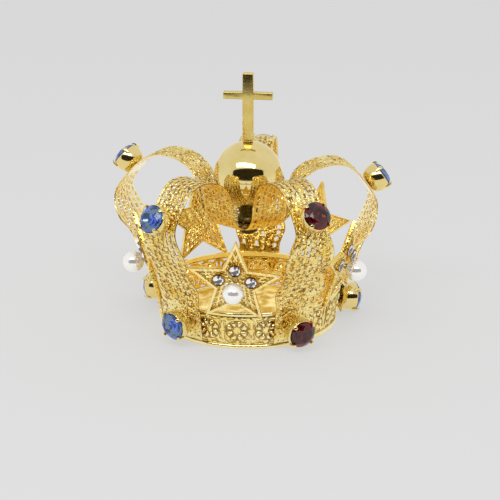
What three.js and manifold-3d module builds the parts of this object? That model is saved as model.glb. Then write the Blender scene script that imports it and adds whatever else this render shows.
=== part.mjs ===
// A small gilt crown for a statue: a pierced circlet with two rim wires, five pierced arches that rise
// from it, curl over and meet at a screwed hub, five openwork stars with a pearl and three crystals
// each, ten claw-set stones, and a hollow orb with a cross on top.
// Millimetres, +Z up. The origin is the centre of the circlet's foot, and -Y is the front.
import * as THREE from "three";
import { mergeVertices } from "three/addons/utils/BufferGeometryUtils.js";
import Module from "manifold-3d";

const wasm = await Module();
wasm.setup();

// Driving dimensions
const sideCount = 5; // arches, and stars between them
const fitGap = 0.06; // clearance between two pieces that touch
const solderGap = 0.15; // clearance that solder fills, under the head of the stud
const overrun = 0.1; // how far a joined boss reaches into the piece that it grows from

// Circlet: a pierced sheet, slightly wider at the top, between two rim wires
const circletFootRadius = 17.4; // outer face of the sheet at the foot
const circletFlare = 1; // how much wider, on the radius, the sheet is at the top
const circletHeight = 7.8;
const circletSheet = 0.45;
const rimHeight = 0.95;
const rimDepth = 0.85;
const rimRound = 0.2;

// Arch: one pierced strip
const archSheet = 0.5;
const archFootHeight = 1.2;
const archFootWidth = 8.4;
const archLowerLobeWidth = 10.6;
const archNeckWidth = 8.2;
const archUpperLobeWidth = 10.2;
const archWaistWidth = 6.6;
const archCrestWidth = 7.2;
const archLegWidth = 7.4;
const archShoulderHeight = 23.5;
const archCrestRadius = 17.5;
const archLegRadius = 9.2;
const archLegHeight = 26.5;
const archRib = 0.8; // plain metal along the middle
const archEdge = 0.55; // plain metal along each edge
const archPiercingGap = 0.3; // plain metal between one pair of openings and the next
const archPlainRadius = 4.6; // the tip is plain nearer to the axis than this

// Arch: how far out its shoulder reaches, and how high its crest stands
const archReach = 25.2;
const archCrestHeight = 32.2;

// Hub: the arch tips lie between a collar and a washer, on a stud that holds the orb
const hubHeight = 20;
const studRadius = 0.8;
const studHeadRadius = 1.9;
const studHeadHeight = 0.6;
const studTail = 0.5;
const collarRadius = 2.15;
const washerRadius = 3.1;
const washerHeight = 0.6;
const nutRadius = 1.9;
const nutHeight = 1.1;

// Orb and cross
const orbRadius = 6.65;
const orbWall = 0.45;
const orbLift = 2.6; // from the arch tips up to the ball, which the collar fills
const totalHeight = 50;
const crossWidth = 9.6;
const crossBarDrop = 4.4; // from the top of the cross to the middle of its bar
const crossBarHeight = 1.35;
const crossPostWidth = 2.1;
const crossThickness = 1.5;
const crossBevel = 0.15;
const crossPegRadius = 0.6;
const crossPegLength = 1.6;

// Star: a sheet with a raised edge, three cups for crystals and a peg for the pearl
const starRadius = 9.3;
const starSheet = 0.45;
const starEdgeRise = 0.6;
const starEdgeWidth = 0.55;
const starLean = 14 * THREE.MathUtils.DEG2RAD; // the top leans outwards
const starOverlap = 0.6; // how far the lower points reach below the top of the circlet
const starCupRadius = 1.35;
const starCupHeight = 0.85;
const starCupWall = 0.22;
const starCupFloor = 0.3;
const starCupSpread = 3.1; // from the star's middle to a side cup
const starCupRise = 0.9;
const starTopCupRise = 3.25;
const pearlRadius = 2.1;
const pearlDrop = 0.4;
const pearlPegRadius = 0.5;
const pearlPegLength = 1.6;
const pearlSink = 0.7; // how deep the peg goes into the pearl

// Claw setting: a round bowl with four claws that hold a faceted stone
const stoneRadius = 2.6;
const stoneGirdle = 0.25;
const stoneCrown = 0.75;
const stonePavilion = 1.6;
const bowlRadius = 2.85;
const bowlDepth = 3.3;
const bowlFootRadius = 1.3;
const clawCount = 4;
const clawWidth = 0.7;
const clawThickness = 0.32;
const circletStoneHeight = 4;

// Shares: unit shapes and places, as parts of the named sizes that they follow
const flowerShares = { near: 0.16, far: 1.02, width: 0.4 }; // petals, of half a cell
const sprigShares = { rise: 0.78, reach: 0.42, width: 0.24 }; // the leaf above and below a flower
const archLeafWidthShare = 0.34;
const archSeatMarginShare = 0.25; // of a cell, kept plain beyond a bowl's foot
const bowlBellyShare = 0.66; // the round part of a bowl, of its depth
const stoneTableShare = 0.56;
const crystalTableShare = 0.5;
const crystalCrownShare = 0.33;
const starInnerShare = 0.43;
const starSlotShares = { near: 0.5, far: 0.74, half: 0.085 };
const leafShares = [
  [0, 0],
  [0.3, 0.5],
  [0.7, 0.4],
  [1, 0],
  [0.7, -0.4],
  [0.3, -0.5],
];
const diamondShares = [
  [0, 0],
  [0.5, 0.5],
  [1, 0],
  [0.5, -0.5],
];
const outerLegShares = [
  [0.4, 0.39],
  [0.81, 0.7],
];
const shoulderShares = [
  [0.3, 0.52],
  [0.64, 0.87],
];
const crestShares = [
  [0.55, 0.15],
  [0.88, 0.55],
];
const innerLegShares = [
  [0.1, 0.55],
  [0.42, 0.92],
];
const archWidths = [
  { atShare: 0, width: archFootWidth },
  { atShare: 0.12, width: archFootWidth },
  { atShare: 0.185, width: archLowerLobeWidth },
  { atShare: 0.25, width: archNeckWidth },
  { atShare: 0.32, width: archUpperLobeWidth },
  { atShare: 0.43, width: archWaistWidth },
  { atShare: 0.62, width: archCrestWidth },
  { atShare: 0.84, width: archLegWidth },
  { atShare: 1, width: archLegWidth },
];

// The arches are bent by hand, so each has its own turn, reach and rise.
const arches = [
  { side: "front_right", turnShare: 0.097, reachShare: 1, crestShare: 1 },
  { side: "right", turnShare: 0.3, reachShare: 0.988, crestShare: 0.975 },
  { side: "back", turnShare: 0.5, reachShare: 1.008, crestShare: 1.006 },
  { side: "left", turnShare: 0.7, reachShare: 1.087, crestShare: 1 },
  { side: "front_left", turnShare: 0.906, reachShare: 0.975, crestShare: 0.988 },
];
// Where an arch carries its stones: one at a part of its length, and one at about the foot stone's height.
const stoneShares = {
  front_right: { shoulder: 0.46, circlet: 1.1 },
  right: { shoulder: 0.46, circlet: 0.85 },
  back: { shoulder: 0.455, circlet: 1 },
  left: { shoulder: 0.49, circlet: 1 },
  front_left: { shoulder: 0.44, circlet: 1.22 },
};
const turnGaps = arches.map((arch, i) => (arches[(i + 1) % sideCount].turnShare - arch.turnShare + 1) % 1);
const tipSector = Math.PI * Math.min(...turnGaps); // half the angle between the two closest arches
const garnetSides = ["front_right", "back"]; // the stones of the other sides are blue
// The stars were set by eye, so each is turned a little in its own plane.
const stars = [
  { side: "front", tiltShare: -0.008 },
  { side: "right_front", tiltShare: 0.004 },
  { side: "right_back", tiltShare: -0.003 },
  { side: "left_back", tiltShare: 0.005 },
  { side: "left_front", tiltShare: 0.002 },
];

// Numbers of facets and cells
const ringCellsPerSide = 4;
const ringCells = ringCellsPerSide * sideCount;
const ringCellSteps = 2;
const petalCount = 4;
const archCells = 16;
const nutSides = 6;
const bowlBellySteps = 3;
const smallSteps = 8;
const roundSteps = 10;
const orbSteps = 24;
const orbRings = 6;
const orbInnerRings = 3;

// Materials
const gilt = { color: 0xdcae4b, roughness: 0.22, metalness: 1 };
const looks = {
  gilt,
  blue: { color: 0x1d3fb0, roughness: 0.05, metalness: 0 },
  garnet: { color: 0x4a0812, roughness: 0.05, metalness: 0 },
  crystal: { color: 0xe8ecf2, roughness: 0.03, metalness: 0 },
  pearl: { color: 0xf4efe4, roughness: 0.25, metalness: 0 },
};

// A closed mesh with shared vertices and its faces pointing out.
function closed(geometry) {
  const bare = new THREE.BufferGeometry();
  bare.setAttribute("position", geometry.getAttribute("position"));
  if (geometry.index) bare.setIndex(geometry.index);
  const merged = mergeVertices(bare);
  const corners = merged.getAttribute("position");
  const kept = [];
  const [a, b, c] = [new THREE.Vector3(), new THREE.Vector3(), new THREE.Vector3()];
  let volume = 0;
  for (let i = 0; i < merged.index.count; i += 3) {
    const face = [merged.index.getX(i), merged.index.getX(i + 1), merged.index.getX(i + 2)];
    if (new Set(face).size < 3) continue;
    a.fromBufferAttribute(corners, face[0]);
    b.fromBufferAttribute(corners, face[1]);
    c.fromBufferAttribute(corners, face[2]);
    volume += a.dot(b.cross(c));
    kept.push(face);
  }
  merged.setIndex(kept.flatMap((face) => (volume < 0 ? face.reverse() : face)));
  return merged;
}

function solid(geometry) {
  const mesh = closed(geometry);
  const triVerts = new Uint32Array(mesh.index.array);
  const vertProperties = new Float32Array(mesh.getAttribute("position").array);
  return new wasm.Manifold(new wasm.Mesh({ numProp: 3, vertProperties, triVerts }));
}

function join(geometries) {
  const whole = geometries.map(solid).reduce((all, one) => all.add(one));
  const mesh = whole.getMesh();
  const joined = new THREE.BufferGeometry();
  joined.setAttribute("position", new THREE.BufferAttribute(mesh.vertProperties, 3));
  joined.setIndex(new THREE.BufferAttribute(mesh.triVerts, 1));
  return joined;
}

// A shape turned round Z. The profile is a list of [radius, height] and closes on itself or the axis.
function turned(profile, steps) {
  const points = profile.map(([radius, height]) => new THREE.Vector2(radius, height));
  return closed(new THREE.LatheGeometry(points, steps).rotateX(Math.PI / 2));
}

function ring(profile, steps) {
  return turned([...profile, profile[0]], steps);
}

function pipe(inner, outer, low, high, steps) {
  return ring([[inner, low], [outer, low], [outer, high], [inner, high]], steps);
}

function mix(from, to, share) {
  return from + (to - from) * share;
}

// A unit outline laid from one point to another, with a width.
function laid(shares, from, to, width) {
  const along = new THREE.Vector2().subVectors(to, from);
  const across = new THREE.Vector2(-along.y, along.x).normalize().multiplyScalar(width);
  return shares.map(([u, v]) => from.clone().addScaledVector(along, u).addScaledVector(across, v));
}

// A pierced sheet: flat cells in a row, each with its own openings, bent by place(s, w, h) where
// s runs along the row, w across it and h through the sheet. Cells share the corners between them.
function piercedSheet(cells, place, thickness, isRing) {
  const corners = [];
  const push = (point, h) => corners.push(place(point.x, point.y, h));
  cells.forEach((cell, index) => {
    const outline = [...cell.lower, ...cell.upper];
    const startOpen = isRing || index > 0;
    const endOpen = isRing || index < cells.length - 1;
    const openings = cell.openings.map((hole) =>
      THREE.ShapeUtils.isClockWise(hole) ? hole : [...hole].reverse(),
    );
    const flat = [outline, ...openings].flat();
    for (const [a, b, c] of THREE.ShapeUtils.triangulateShape(outline, openings)) {
      [a, b, c].forEach((i) => push(flat[i], thickness));
      [c, b, a].forEach((i) => push(flat[i], 0));
    }
    for (const loop of [outline, ...openings]) {
      loop.forEach((from, i) => {
        const to = loop[(i + 1) % loop.length];
        const isEnd = loop === outline && i === cell.lower.length - 1;
        const isStart = loop === outline && i === outline.length - 1;
        if ((isEnd && endOpen) || (isStart && startOpen)) return;
        push(from, 0);
        push(to, 0);
        push(to, thickness);
        push(from, 0);
        push(to, thickness);
        push(from, thickness);
      });
    }
  });
  const sheet = new THREE.BufferGeometry().setFromPoints(corners);
  return closed(sheet);
}

// Circlet
function circletRadius(height) {
  return circletFootRadius + (circletFlare * height) / circletHeight;
}

const rimOverhang = (rimDepth - circletSheet) / 2;

function rimWire(low) {
  const outer = circletRadius(low) + rimOverhang;
  const inner = outer - rimDepth;
  const high = low + rimHeight;
  const profile = [
    [inner, low],
    [outer - rimRound, low],
    [outer, low + rimHeight / 2],
    [outer - rimRound, high],
    [inner, high],
  ];
  return ring(profile, ringCells * ringCellSteps);
}

// One cell of the circlet: a four-petalled flower with a leaf above and below.
function circletOpenings(start, length, half) {
  const middle = new THREE.Vector2(start + length / 2, 0);
  const reach = Math.min(length, 2 * half) / 2;
  const openings = [];
  for (let i = 0; i < petalCount; i += 1) {
    const turn = ((i + 0.5) * 2 * Math.PI) / petalCount;
    const out = new THREE.Vector2(Math.cos(turn), Math.sin(turn));
    const near = middle.clone().addScaledVector(out, reach * flowerShares.near);
    const far = middle.clone().addScaledVector(out, reach * flowerShares.far);
    openings.push(laid(leafShares, near, far, reach * flowerShares.width));
  }
  for (const side of [-1, 1]) {
    const rise = new THREE.Vector2(0, side * half * sprigShares.rise);
    const wing = new THREE.Vector2(reach * sprigShares.reach, 0);
    const leafMiddle = middle.clone().add(rise);
    const leafEnds = [leafMiddle.clone().sub(wing), leafMiddle.clone().add(wing)];
    openings.push(laid(diamondShares, ...leafEnds, reach * sprigShares.width));
  }
  return openings;
}

function circletSheetGeometry() {
  const low = rimHeight + fitGap;
  const high = circletHeight - rimHeight - fitGap;
  const half = (high - low) / 2;
  const middleRadius = circletRadius((low + high) / 2);
  const length = (2 * Math.PI * middleRadius) / ringCells;
  const cells = [];
  for (let i = 0; i < ringCells; i += 1) {
    const start = (i - 0.5) * length;
    const lower = [];
    const upper = [];
    for (let step = 0; step <= ringCellSteps; step += 1) {
      const s = start + (length * step) / ringCellSteps;
      lower.push(new THREE.Vector2(s, -half));
      upper.unshift(new THREE.Vector2(s, half));
    }
    // A cell behind an arch's foot stays plain.
    const isPlain = i % ringCellsPerSide === ringCellsPerSide / 2;
    cells.push({ lower, upper, openings: isPlain ? [] : circletOpenings(start, length, half) });
  }
  const place = (s, w, h) => {
    const turn = s / middleRadius;
    const height = (low + high) / 2 + w;
    const radius = circletRadius(height) - circletSheet + h;
    return new THREE.Vector3(radius * Math.sin(turn), -radius * Math.cos(turn), height);
  };
  return piercedSheet(cells, place, circletSheet, true);
}

// Arch
function archFootRadius(height) {
  return circletRadius(height) + rimOverhang + fitGap;
}

const archTipRadius = studRadius + 2 * fitGap;

function archPath({ reachShare, crestShare }) {
  const reach = archReach * reachShare;
  const crest = archCrestHeight * crestShare;
  const footTop = archFootRadius(circletHeight);
  const shoulder = archShoulderHeight;
  const foot = archFootRadius(archFootHeight);
  const points = [
    [foot, archFootHeight],
    [(foot + footTop) / 2, (archFootHeight + circletHeight) / 2],
    [footTop, circletHeight],
    ...outerLegShares.map(([r, z]) => [mix(footTop, reach, r), mix(circletHeight, shoulder, z)]),
    [reach, shoulder],
    ...shoulderShares.map(([r, z]) => [mix(reach, archCrestRadius, r), mix(shoulder, crest, z)]),
    [archCrestRadius, crest],
    ...crestShares.map(([r, z]) => [
      mix(archCrestRadius, archLegRadius, r),
      mix(crest, archLegHeight, z),
    ]),
    [archLegRadius, archLegHeight],
    ...innerLegShares.map(([r, z]) => [
      mix(archLegRadius, collarRadius, r),
      mix(archLegHeight, hubHeight, z),
    ]),
    [(washerRadius + collarRadius) / 2, hubHeight],
    [archTipRadius, hubHeight],
  ];
  return new THREE.CatmullRomCurve3(points.map(([r, z]) => new THREE.Vector3(r, 0, z)));
}

// The radius, height and outward direction of an arch's inner face at a share of its length.
function archFrame(path, share) {
  const at = path.getPointAt(share);
  const along = path.getTangentAt(share);
  return { radius: at.x, height: at.z, out: new THREE.Vector2(along.z, -along.x) };
}

function archHalfWidth(share, radius) {
  const next = archWidths.findIndex(({ atShare }) => atShare >= share);
  const high = archWidths[next];
  const low = archWidths[Math.max(next - 1, 0)];
  const span = high.atShare - low.atShare || 1;
  const eased = THREE.MathUtils.smoothstep((share - low.atShare) / span, 0, 1);
  // Near the hub the tips share the circle, each within its own sector.
  const room = radius * Math.tan(tipSector) - fitGap / Math.cos(tipSector);
  return Math.min(mix(low.width, high.width, eased) / 2, room);
}

function archGeometry(path, stoneShare) {
  const length = path.getLength();
  const seatShare = bowlFootRadius / length + archSeatMarginShare / archCells;
  const cells = [];
  for (let i = 0; i < archCells; i += 1) {
    const [from, to] = [i / archCells, (i + 1) / archCells];
    const [startHalf, endHalf] = [from, to].map((share) =>
      archHalfWidth(share, path.getPointAt(share).x),
    );
    const [start, end] = [from * length, to * length];
    const lower = [new THREE.Vector2(start, -startHalf), new THREE.Vector2(end, -endHalf)];
    const upper = [new THREE.Vector2(end, endHalf), new THREE.Vector2(start, startHalf)];
    const isSeat = Math.abs((from + to) / 2 - stoneShare) < seatShare;
    const isFoot = path.getPointAt(to).z < circletHeight + rimHeight;
    const isTip = path.getPointAt(to).x < archPlainRadius;
    const openings = [];
    if (!isSeat && !isFoot && !isTip) {
      for (const side of [-1, 1]) {
        const near = new THREE.Vector2(start + archPiercingGap, (side * archRib) / 2);
        const outer = side * (Math.min(startHalf, endHalf) - archEdge);
        const far = new THREE.Vector2(end - archPiercingGap, outer);
        openings.push(laid(leafShares, near, far, near.distanceTo(far) * archLeafWidthShare));
      }
    }
    cells.push({ lower, upper, openings });
  }
  const place = (s, w, h) => {
    const { radius, height, out } = archFrame(path, THREE.MathUtils.clamp(s / length, 0, 1));
    return new THREE.Vector3(w, -(radius + out.x * h), height + out.y * h);
  };
  return piercedSheet(cells, place, archSheet, false);
}

// Claw setting and stone, both standing on their back at the origin with the stone facing +Z
const stoneSeat = bowlDepth - stonePavilion;

function bowlGeometry() {
  const belly = bowlDepth * bowlBellyShare;
  const profile = [[0, 0]];
  for (let i = 0; i <= bowlBellySteps; i += 1) {
    const turn = ((i / bowlBellySteps) * Math.PI) / 2;
    profile.push([mix(bowlFootRadius, bowlRadius, Math.sin(turn)), belly * (1 - Math.cos(turn))]);
  }
  profile.push([bowlRadius, bowlDepth]);
  profile.push([stoneRadius + fitGap, bowlDepth]);
  profile.push([0, stoneSeat - 2 * fitGap]);
  const claws = [];
  const tip = bowlDepth + stoneGirdle + stoneCrown / 2;
  const lean = stoneCrown / 2;
  for (let i = 0; i < clawCount; i += 1) {
    const side = new THREE.Shape([
      new THREE.Vector2(bowlRadius - overrun, bowlDepth - stoneCrown),
      new THREE.Vector2(bowlRadius + clawThickness, bowlDepth - stoneCrown),
      new THREE.Vector2(bowlRadius + clawThickness, bowlDepth + stoneGirdle),
      new THREE.Vector2(bowlRadius - lean, tip + clawThickness),
      new THREE.Vector2(bowlRadius - lean - clawThickness, tip),
      new THREE.Vector2(stoneRadius + fitGap, bowlDepth + stoneGirdle),
    ]);
    const claw = new THREE.ExtrudeGeometry(side, { depth: clawWidth, bevelEnabled: false });
    claw.translate(0, 0, -clawWidth / 2).rotateX(Math.PI / 2);
    claw.rotateZ(((i + 0.5) * 2 * Math.PI) / clawCount);
    claws.push(claw);
  }
  return join([turned(profile, roundSteps), ...claws]);
}

function stoneGeometry() {
  const table = stoneRadius * stoneTableShare;
  const profile = [
    [0, stoneSeat],
    [stoneRadius, bowlDepth],
    [stoneRadius, bowlDepth + stoneGirdle],
    [table, bowlDepth + stoneGirdle + stoneCrown],
    [0, bowlDepth + stoneGirdle + stoneCrown],
  ];
  return turned(profile, roundSteps);
}

// Star, flat on XY with its face towards +Z and its middle at the origin
function starOutline(radius) {
  const points = [];
  for (let i = 0; i < 2 * sideCount; i += 1) {
    const turn = (i * Math.PI) / sideCount;
    const reach = i % 2 ? radius * starInnerShare : radius;
    points.push(new THREE.Vector2(-reach * Math.sin(turn), reach * Math.cos(turn)));
  }
  return points;
}

const starCups = [
  { name: "left", u: -starCupSpread, w: starCupRise },
  { name: "top", u: 0, w: starTopCupRise },
  { name: "right", u: starCupSpread, w: starCupRise },
];

function starGeometry() {
  // The edge is as wide as stated, measured square to it, all the way round.
  const edgeScale = 1 - starEdgeWidth / starOutlineInset();
  const edge = new THREE.Shape(starOutline(starRadius));
  edge.holes.push(new THREE.Path(starOutline(starRadius * edgeScale)));
  const sheet = new THREE.Shape(starOutline((starRadius * (1 + edgeScale)) / 2));
  for (let i = 0; i < sideCount; i += 1) {
    const turn = (i * 2 * Math.PI) / sideCount;
    const out = new THREE.Vector2(Math.sin(turn), Math.cos(turn));
    const near = out.clone().multiplyScalar(starRadius * starSlotShares.near);
    const far = out.clone().multiplyScalar(starRadius * starSlotShares.far);
    const slot = laid(diamondShares, near, far, 2 * starRadius * starSlotShares.half);
    sheet.holes.push(new THREE.Path(slot));
  }
  const flat = { depth: starSheet, bevelEnabled: false };
  const raised = { depth: starSheet + starEdgeRise, bevelEnabled: false };
  const pieces = [new THREE.ExtrudeGeometry(edge, raised), new THREE.ExtrudeGeometry(sheet, flat)];
  for (const { u, w } of starCups) {
    const cup = [
      [0, starSheet - overrun],
      [starCupRadius, starSheet - overrun],
      [starCupRadius, starSheet + starCupHeight],
      [starCupRadius - starCupWall, starSheet + starCupHeight],
      [0, starSheet + starCupFloor],
    ];
    pieces.push(turned(cup, smallSteps).translate(u, w, 0));
  }
  const peg = [
    [0, starSheet - overrun],
    [pearlPegRadius, starSheet - overrun],
    [pearlPegRadius, starSheet + pearlPegLength],
    [0, starSheet + pearlPegLength],
  ];
  pieces.push(turned(peg, smallSteps).translate(0, -pearlDrop, 0));
  return join(pieces);
}

// The distance from the star's middle to the line of one edge.
function starOutlineInset() {
  const [tip, valley] = starOutline(starRadius);
  const along = new THREE.Vector2().subVectors(valley, tip).normalize();
  return Math.abs(tip.cross(along));
}

function crystalGeometry() {
  const radius = starCupRadius - starCupWall - fitGap;
  const floor = starSheet + starCupFloor + fitGap;
  const girdle = starSheet + starCupHeight;
  const top = girdle + radius * crystalCrownShare;
  const profile = [
    [0, floor],
    [radius, girdle],
    [radius * crystalTableShare, top],
    [0, top],
  ];
  return turned(profile, smallSteps);
}

function pearlGeometry() {
  // The ball starts where the peg leaves it, and has a blind hole for the peg.
  const holeRadius = pearlPegRadius + fitGap;
  const top = starSheet + pearlPegLength + fitGap;
  const middle = top - pearlSink - fitGap + Math.sqrt(pearlRadius ** 2 - holeRadius ** 2);
  const first = Math.asin(holeRadius / pearlRadius);
  const profile = [[0, top], [holeRadius, top]];
  for (let i = 0; i <= smallSteps; i += 1) {
    const turn = mix(first, Math.PI, i / smallSteps);
    const radius = i === smallSteps ? 0 : pearlRadius * Math.sin(turn);
    profile.push([radius, middle - pearlRadius * Math.cos(turn)]);
  }
  return turned(profile, roundSteps).translate(0, -pearlDrop, 0);
}

function nutGeometry() {
  const corners = Array.from({ length: nutSides }, (_, i) => {
    const turn = (i * 2 * Math.PI) / nutSides;
    return new THREE.Vector2(nutRadius * Math.cos(turn), nutRadius * Math.sin(turn));
  });
  const outline = new THREE.Shape(corners);
  const hole = new THREE.Path().absarc(0, 0, studRadius + fitGap, 0, 2 * Math.PI, true);
  outline.holes.push(hole);
  const nut = { depth: nutHeight, bevelEnabled: false, curveSegments: roundSteps };
  return closed(new THREE.ExtrudeGeometry(outline, nut));
}

// Orb, in two halves, each from its hole to the middle of the ball
const tipTop = hubHeight + archSheet + fitGap;
const orbCentreHeight = tipTop + orbLift + orbRadius;
const orbInside = orbRadius - orbWall;

function orbHalf(isUpper, holeRadius) {
  const sign = isUpper ? 1 : -1;
  const arc = (radius, rings) => {
    const first = Math.asin(holeRadius / radius);
    const last = Math.PI / 2 - fitGap / 2 / radius;
    const points = [];
    for (let i = 0; i <= rings; i += 1) {
      const turn = mix(first, last, i / rings);
      points.push([radius * Math.sin(turn), orbCentreHeight + sign * radius * Math.cos(turn)]);
    }
    return points;
  };
  const outer = arc(orbRadius, orbRings);
  const inner = arc(orbInside, orbInnerRings).reverse();
  return ring([...outer, ...inner], orbSteps);
}

function crossGeometry() {
  const foot = orbCentreHeight + orbRadius + fitGap;
  const half = crossPostWidth / 2;
  const arm = crossWidth / 2;
  const barHigh = totalHeight - crossBarDrop + crossBarHeight / 2;
  const barLow = barHigh - crossBarHeight;
  const rightSide = [
    [half, foot],
    [half, barLow],
    [arm, barLow],
    [arm, barHigh],
    [half, barHigh],
    [half, totalHeight],
  ];
  const leftSide = rightSide.map(([x, z]) => [-x, z]).reverse();
  const outline = [...rightSide, ...leftSide].map(([x, z]) => new THREE.Vector2(x, z));
  const depth = crossThickness - 2 * crossBevel;
  const body = new THREE.ExtrudeGeometry(new THREE.Shape(outline), {
    depth,
    bevelThickness: crossBevel,
    bevelSize: crossBevel,
    bevelOffset: -crossBevel,
    bevelSegments: 1,
  });
  body.translate(0, 0, -depth / 2).rotateX(Math.PI / 2);
  const peg = [
    [0, foot - crossPegLength],
    [crossPegRadius, foot - crossPegLength],
    [crossPegRadius, foot + overrun + crossBevel],
    [0, foot + overrun + crossBevel],
  ];
  return join([body, turned(peg, smallSteps)]);
}

// Assembly
const crown = new THREE.Group();

function mesh(name, geometry, look, parent = crown) {
  const material = new THREE.MeshStandardMaterial({ ...looks[look], flatShading: true });
  const made = new THREE.Mesh(geometry, material);
  made.name = name;
  parent.add(made);
  return made;
}

mesh("circlet_sheet", circletSheetGeometry(), "gilt");
mesh("bottom_rim_wire", rimWire(0), "gilt");
mesh("top_rim_wire", rimWire(circletHeight - rimHeight), "gilt");

// Where a setting stands on an arch: its foot is on the outer face, and it looks straight out.
function seatOn(piece, frame) {
  const lift = archSheet + fitGap;
  piece.position.set(0, -(frame.radius + frame.out.x * lift), frame.height + frame.out.y * lift);
  piece.rotation.x = Math.atan2(frame.out.x, frame.out.y);
}

const bowl = bowlGeometry();
const stone = stoneGeometry();
for (const arch of arches) {
  const sector = new THREE.Group();
  sector.rotation.z = arch.turnShare * 2 * Math.PI;
  crown.add(sector);
  const path = archPath(arch);
  const places = stoneShares[arch.side];
  const footShare = (circletStoneHeight * places.circlet - archFootHeight) / path.getLength();
  mesh(`arch_${arch.side}`, archGeometry(path, places.shoulder), "gilt", sector);
  const seats = { shoulder: places.shoulder, circlet: footShare };
  const look = garnetSides.includes(arch.side) ? "garnet" : "blue";
  for (const [seat, share] of Object.entries(seats)) {
    const frame = archFrame(path, share);
    seatOn(mesh(`${seat}_setting_${arch.side}`, bowl.clone(), "gilt", sector), frame);
    seatOn(mesh(`${seat}_stone_${arch.side}`, stone.clone(), look, sector), frame);
  }
}

// A star's lower points rest against the outside of the circlet, a little below its top.
const starSeatRadius = circletRadius(circletHeight) + rimOverhang + fitGap;
const starLowPoint = starRadius * Math.cos(Math.PI / sideCount);
const starCentreHeight = circletHeight - starOverlap + starLowPoint * Math.cos(starLean);

// How far out a tilted star's middle stands, when the point that lies closer to the circlet touches it.
function starCentreRadius(tilt) {
  const reaches = [-tilt, tilt].map((swing) => {
    const turn = Math.PI / sideCount + swing;
    const side = starRadius * Math.sin(turn);
    const low = starRadius * Math.cos(turn);
    return Math.sqrt(starSeatRadius ** 2 - side ** 2) + low * Math.sin(starLean);
  });
  return Math.max(...reaches);
}

const star = starGeometry();
const crystal = crystalGeometry();
const pearl = pearlGeometry();
stars.forEach(({ side, tiltShare }, index) => {
  const sector = new THREE.Group();
  sector.rotation.z = (index * 2 * Math.PI) / sideCount;
  const tilt = tiltShare * 2 * Math.PI;
  const face = new THREE.Group();
  face.position.set(0, -starCentreRadius(tilt), starCentreHeight);
  face.rotation.set(Math.PI / 2 + starLean, 0, tilt);
  sector.add(face);
  crown.add(sector);
  mesh(`star_${side}`, star.clone(), "gilt", face);
  mesh(`pearl_${side}`, pearl.clone(), "pearl", face);
  for (const { name, u, w } of starCups) {
    mesh(`crystal_${name}_${side}`, crystal.clone(), "crystal", face).position.set(u, w, 0);
  }
});

const boreRadius = studRadius + fitGap;
const washerTop = hubHeight - fitGap;
const washerLow = washerTop - washerHeight;
const nutTop = washerLow - fitGap;
const nutLow = nutTop - nutHeight;
const headDrop = Math.sqrt(orbInside ** 2 - studHeadRadius ** 2);
const studHeadLow = orbCentreHeight - headDrop + solderGap;
// The collar's top is dished to carry the ball.
const dish = [collarRadius, (collarRadius + boreRadius) / 2, boreRadius].map((radius) => [
  radius,
  orbCentreHeight - Math.sqrt(orbRadius ** 2 - radius ** 2) - fitGap,
]);
const collarProfile = [[boreRadius, tipTop], [collarRadius, tipTop], ...dish];
mesh("collar", ring(collarProfile, roundSteps), "gilt");
mesh("washer", pipe(boreRadius, washerRadius, washerLow, washerTop, roundSteps), "gilt");
mesh("nut", nutGeometry().translate(0, 0, nutLow), "gilt");
const studProfile = [
  [0, nutLow - studTail],
  [studRadius, nutLow - studTail],
  [studRadius, studHeadLow],
  [studHeadRadius, studHeadLow],
  [studHeadRadius, studHeadLow + studHeadHeight],
  [0, studHeadLow + studHeadHeight],
];
mesh("stud", turned(studProfile, roundSteps), "gilt");
mesh("orb_lower_half", orbHalf(false, boreRadius), "gilt");
mesh("orb_upper_half", orbHalf(true, crossPegRadius + fitGap), "gilt");
mesh("cross", crossGeometry(), "gilt");

export default crown;
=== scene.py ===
# %% [markdown]
# # A small gilt crown for a statue
# The crown is bent from pierced sheet brass, gilded, and set with stones, pearls and small crystals. The
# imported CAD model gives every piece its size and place. Here each piece gets its finished form: lace
# cut through the sheets, rounded wires, facets on the stones, and the finish of each material.
# A length is written in millimetres and multiplied by MM, because Blender works in metres.

import math
import random

import bmesh
import bpy
from mathutils import Matrix, Vector


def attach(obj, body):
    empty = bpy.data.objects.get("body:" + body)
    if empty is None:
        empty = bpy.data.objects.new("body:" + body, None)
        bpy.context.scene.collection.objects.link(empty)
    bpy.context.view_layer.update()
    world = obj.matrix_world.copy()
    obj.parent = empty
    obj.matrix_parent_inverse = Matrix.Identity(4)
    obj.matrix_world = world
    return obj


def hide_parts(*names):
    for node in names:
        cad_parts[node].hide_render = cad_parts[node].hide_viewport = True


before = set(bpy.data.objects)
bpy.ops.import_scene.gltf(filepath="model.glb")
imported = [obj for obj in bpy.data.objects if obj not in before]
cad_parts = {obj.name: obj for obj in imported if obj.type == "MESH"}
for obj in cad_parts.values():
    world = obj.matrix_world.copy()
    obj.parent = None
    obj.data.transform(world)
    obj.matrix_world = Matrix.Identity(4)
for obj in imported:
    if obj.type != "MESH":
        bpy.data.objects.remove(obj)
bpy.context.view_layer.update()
MM = 0.001
SIDES = 5
# This draws the small differences of hand work, the same at each run.
by_hand = random.Random(5)

# %% [markdown]
# ## Camera
# The crown was photographed from about 17 degrees above, a little to the right of its front star. A close
# camera would make the front much larger than the back, so this one stands 35 cm away with a long lens.
# It aims below the crown's middle, because the crown stands in the upper half of the picture.

# %% Set the camera
def direction(turn, tilt):
    """The way out from the crown, at degrees to the right of its front and above the table."""
    turn, tilt = math.radians(turn), math.radians(tilt)
    return Vector((math.sin(turn) * math.cos(tilt), -math.cos(turn) * math.cos(tilt), math.sin(tilt)))


def new_object(name, data):
    piece = bpy.data.objects.new(name, data)
    bpy.context.scene.collection.objects.link(piece)
    return piece


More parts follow.
